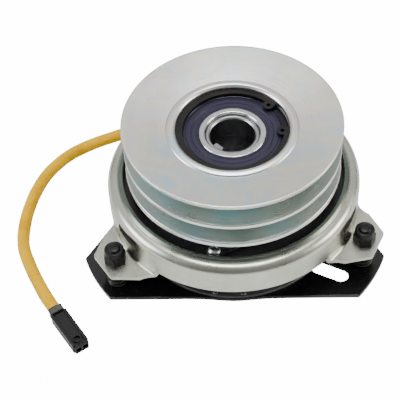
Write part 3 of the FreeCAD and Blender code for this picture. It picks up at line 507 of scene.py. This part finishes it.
# ------------------------------------------------------------------ studs, nuts, springs
STUDS = [(92.4 * math.cos(math.radians(a)), 92.4 * math.sin(math.radians(a))) for a in (-145.0, -25.0, 95.0)]
bm = bmesh.new()
seg, pitch, dz = 40, 1.25, 0.125
for cx, cy in STUDS:
    rows = []
    steps = int(35.8 / dz)
    for j in range(steps + 1):
        z = 0.2 + j * dz
        row = []
        for i in range(seg):
            a = 2 * math.pi * i / seg
            ph = (z / pitch - i / seg) % 1.0
            tri = 1.0 - abs(2 * ph - 1.0)
            r = 4.0 - 0.52 * max(0.0, min(1.0, tri * 1.25 - 0.12))
            r = min(r, 3.3 + (36.15 - z) * 0.9, 3.3 + z * 1.2)
            row.append(bm.verts.new(((cx + r * math.cos(a)) * MM, (cy + r * math.sin(a)) * MM, z * MM)))
        rows.append(row)
    for a, b in zip(rows, rows[1:]):
        for i in range(seg):
            k = (i + 1) % seg
            bm.faces.new((a[i], a[k], b[k], b[i]))
    for row, z, flip in ((rows[0], 0.0, True), (rows[-1], 36.18, False)):
        ring = [bm.verts.new(((cx + 2.9 * math.cos(2 * math.pi * i / seg)) * MM, (cy + 2.9 * math.sin(2 * math.pi * i / seg)) * MM, z * MM)) for i in range(seg)]
        mid = bm.verts.new((cx * MM, cy * MM, z * MM))
        for i in range(seg):
            k = (i + 1) % seg
            bm.faces.new((row[i], row[k], ring[k], ring[i]))
            bm.faces.new((ring[i], ring[k], mid))
add("adjusting_studs_skin", finished("adjusting_studs_skin", bm, 50), "adjusting_studs")

bm = bmesh.new()
for k, (cx, cy) in enumerate(STUDS):
    seg = 96
    turn = math.radians((0.0, 32.0, 20.0)[k])
    rows = []
    # height, and the round limit there; the hexagon shows where it is smaller
    levels = [(24.12, 7.0), (24.45, 7.35), (24.9, 7.6), (29.6, 7.6), (30.1, 7.3), (30.55, 6.75), (30.7, 6.38), (30.9, 6.35), (34.2, 6.35),
              (34.75, 6.15), (35.05, 5.75), (35.2, 5.2), (35.1, 4.9), (34.7, 4.75), (34.5, 4.2), (34.5, 4.06), (24.12, 4.06)]
    for z, lim in levels:
        row = []
        for i in range(seg):
            a = 2 * math.pi * i / seg
            h = 6.5 / math.cos(((a - turn + math.pi / 6) % (math.pi / 3)) - math.pi / 6)
            r = lim if z > 30.65 or lim < 5.0 else min(lim, h)
            row.append(bm.verts.new(((cx + r * math.cos(a)) * MM, (cy + r * math.sin(a)) * MM, z * MM)))
        rows.append(row)
    for j in range(len(rows)):
        a, b = rows[j], rows[(j + 1) % len(rows)]
        for i in range(seg):
            m = (i + 1) % seg
            bm.faces.new((a[i], a[m], b[m], b[i]))
add("lock_nuts_skin", finished("lock_nuts_skin", bm, 28), "lock_nuts")
fine("nut_inserts", 0.15)

bm = bmesh.new()
wire, mean, turns = 0.78, 6.3, 6.3
for cx, cy in STUDS:
    path = []
    n = 300
    for j in range(n + 1):
        t = turns * j / n
        z0, z1 = 3.0 + wire, 21.68 - wire
        # one dead coil at each end
        f = min(1.0, max(0.0, (t - 0.85) / (turns - 1.7)))
        flat = wire * 2 * 0.42
        z = z0 + flat * min(t, 0.85) + (z1 - z0 - flat * 1.7) * f + flat * max(0.0, t - (turns - 0.85))
        a = 2 * math.pi * t + 0.6
        path.append((Vector((cx + mean * math.cos(a), cy + mean * math.sin(a), z)), Vector((math.cos(a), math.sin(a), 0))))
    rows = []
    for p, rad in path:
        rows.append([bm.verts.new((p + rad * (wire * math.cos(2 * math.pi * i / 12)) + Vector((0, 0, wire * math.sin(2 * math.pi * i / 12)))) * MM) for i in range(12)])
    for a, b in zip(rows, rows[1:]):
        for i in range(12):
            m = (i + 1) % 12
            bm.faces.new((a[i], a[m], b[m], b[i]))
    bm.faces.new(rows[0])
    bm.faces.new(rows[-1])
add("brake_springs_skin", finished("brake_springs_skin", bm, 40), "brake_springs")

# ------------------------------------------------------------------ lead
ROUTE = [(-39.0, 79.2, 8.8), (-52.5, 79.3, 8.4), (-66.5, 77.7, 7.4), (-82.5, 73.6, 6.0), (-101.5, 66.2, 4.9),
         (-118.0, 55.8, 4.5), (-131.5, 38.5, 4.4), (-138.3, 19.5, 4.4), (-142.0, -2.0, 4.4),
         (-141.6, -25.5, 4.4), (-133.1, -46.0, 4.4), (-122.3, -66.3, 4.5), (-114.6, -78.0, 4.8)]
R_LEAD = 4.3


def sample_route(points, step=0.8):
    """Straight runs joined by tangent arcs, sampled every step mm."""
    P = [Vector(p) for p in points]
    out = [P[0].copy()]
    here = P[0]

    def straight(a, b):
        n = max(1, int((b - a).length / step))
        for i in range(1, n + 1):
            out.append(a.lerp(b, i / n))

    for i in range(1, len(P) - 1):
        a, b, c = P[i - 1], P[i], P[i + 1]
        u, w = a - b, c - b
        la, lc = u.length, w.length
        u.normalize()
        w.normalize()
        turn = math.pi - u.angle(w)
        cutb = 0.45 * min(la, lc)
        rad = cutb / math.tan(turn / 2)
        p0 = b + u * cutb
        cen = b + (u + w).normalized() * (rad / math.cos(turn / 2))
        straight(here, p0)
        s = p0 - cen
        axis = s.cross((b + w * cutb) - cen).normalized()
        n = max(2, int(rad * turn / step))
        for k in range(1, n + 1):
            out.append(cen + Matrix.Rotation(turn * k / n, 3, axis) @ s)
        here = b + w * cutb
    straight(here, P[-1])
    return out


line = sample_route(ROUTE)
bm = bmesh.new()
rows, seg = [], 40
run = 0.0
for j, p in enumerate(line):
    t = (line[min(j + 1, len(line) - 1)] - line[max(j - 1, 0)]).normalized()
    side = t.cross(Vector((0, 0, 1))).normalized()
    upv = side.cross(t).normalized()
    if j:
        run += (p - line[j - 1]).length
    row = []
    for i in range(seg):
        a = 2 * math.pi * i / seg
        # slightly flattened, with soft ripples where it bends
        rip = 0.045 * math.sin(run * 0.55 + 2.0 * math.sin(a)) + 0.03 * math.sin(run * 1.35 + 3 * a)
        rw = R_LEAD * (0.985 + 0.01 * math.sin(run * 0.21)) + rip * 0.4
        rh = R_LEAD * (0.93 + 0.02 * math.sin(run * 0.17 + 1.0)) + rip * 0.4
        x = rw * math.copysign(abs(math.cos(a)) ** 0.92, math.cos(a))
        y = rh * math.copysign(abs(math.sin(a)) ** 0.92, math.sin(a))
        row.append(bm.verts.new((p + side * x + upv * y) * MM))
    rows.append(row)
for a, b in zip(rows, rows[1:]):
    for i in range(seg):
        m = (i + 1) % seg
        bm.faces.new((a[i], a[m], b[m], b[i]))
bm.faces.new(rows[0])
bm.faces.new(rows[-1])
lead = add("lead_sleeve_skin", finished("lead_sleeve_skin", bm, 60), "lead_sleeve")
seal_piece = fine("connector_seal", 0.9)
housing_piece = fine("connector_housing", 0.4)
pins_piece = fine("connector_terminals", 0.1)

# ------------------------------------------------------------------ stage and light
bpy.ops.mesh.primitive_plane_add(size=6.0, location=(0, 0, -0.0004))
floor = bpy.context.object
floor.name = "floor"
fm = bpy.data.materials.new("floor_white")
fm.use_nodes = True
ft = fm.node_tree
fb = ft.nodes["Principled BSDF"]
fb.inputs["Base Color"].default_value = (0.90, 0.90, 0.90, 1)
fb.inputs["Roughness"].default_value = 0.9
fe = ft.nodes.new("ShaderNodeEmission")
fe.inputs["Strength"].default_value = 15.0
fp = ft.nodes.new("ShaderNodeLightPath")
fx = ft.nodes.new("ShaderNodeMixShader")
ft.links.new(fp.outputs["Is Camera Ray"], fx.inputs[0])
ft.links.new(fb.outputs[0], fx.inputs[1])
ft.links.new(fe.outputs[0], fx.inputs[2])
ft.links.new(fx.outputs[0], ft.nodes["Material Output"].inputs[0])
floor.data.materials.append(fm)

world = bpy.data.worlds.new("studio")
bpy.context.scene.world = world
world.use_nodes = True
wt = world.node_tree
bg = wt.nodes["Background"]
tc = wt.nodes.new("ShaderNodeTexCoord")
sep = wt.nodes.new("ShaderNodeSeparateXYZ")
wt.links.new(tc.outputs["Generated"], sep.inputs[0])
cr = wt.nodes.new("ShaderNodeValToRGB")
els = cr.color_ramp.elements
els[0].position, els[0].color = 0.0, (0.30, 0.30, 0.30, 1)
els[1].position, els[1].color = 1.0, (0.62, 0.62, 0.62, 1)
for pos, c in ((0.10, 0.32), (0.34, 0.80), (0.70, 0.78)):
    e = els.new(pos)
    e.color = (c, c, c, 1)
wt.links.new(sep.outputs[2], cr.inputs[0])
# the side behind the camera is darker than the side it faces
side = wt.nodes.new("ShaderNodeMapRange")
side.inputs[1].default_value, side.inputs[2].default_value = -0.8, 0.5
side.inputs[3].default_value, side.inputs[4].default_value = 0.35, 1.15
wt.links.new(sep.outputs[1], side.inputs[0])
wt.links.new(cr.outputs[0], bg.inputs[0])
wt.links.new(side.outputs[0], bg.inputs[1])


def area(name, loc, target, size, energy, color=(1, 1, 1), size_y=None):
    ld = bpy.data.lights.new(name, "AREA")
    ld.shape = "RECTANGLE"
    ld.size = size
    ld.size_y = size_y or size
    ld.energy = energy
    ld.color = color
    ob = bpy.data.objects.new(name, ld)
    bpy.context.scene.collection.objects.link(ob)
    ob.location = loc
    dirv = Vector(target) - Vector(loc)
    ob.rotation_euler = dirv.to_track_quat("-Z", "Y").to_euler()
    return ob


area("top", (0.0, 0.10, 1.2), (0, 0, 0.03), 0.55, 13.0)
area("left", (-1.0, -0.15, 0.55), (0, 0, 0.05), 0.5, 8.0, (0.90, 0.96, 1.0))
area("right", (1.0, -0.05, 0.50), (0, 0, 0.05), 0.5, 7.0, (1.0, 0.97, 0.92))
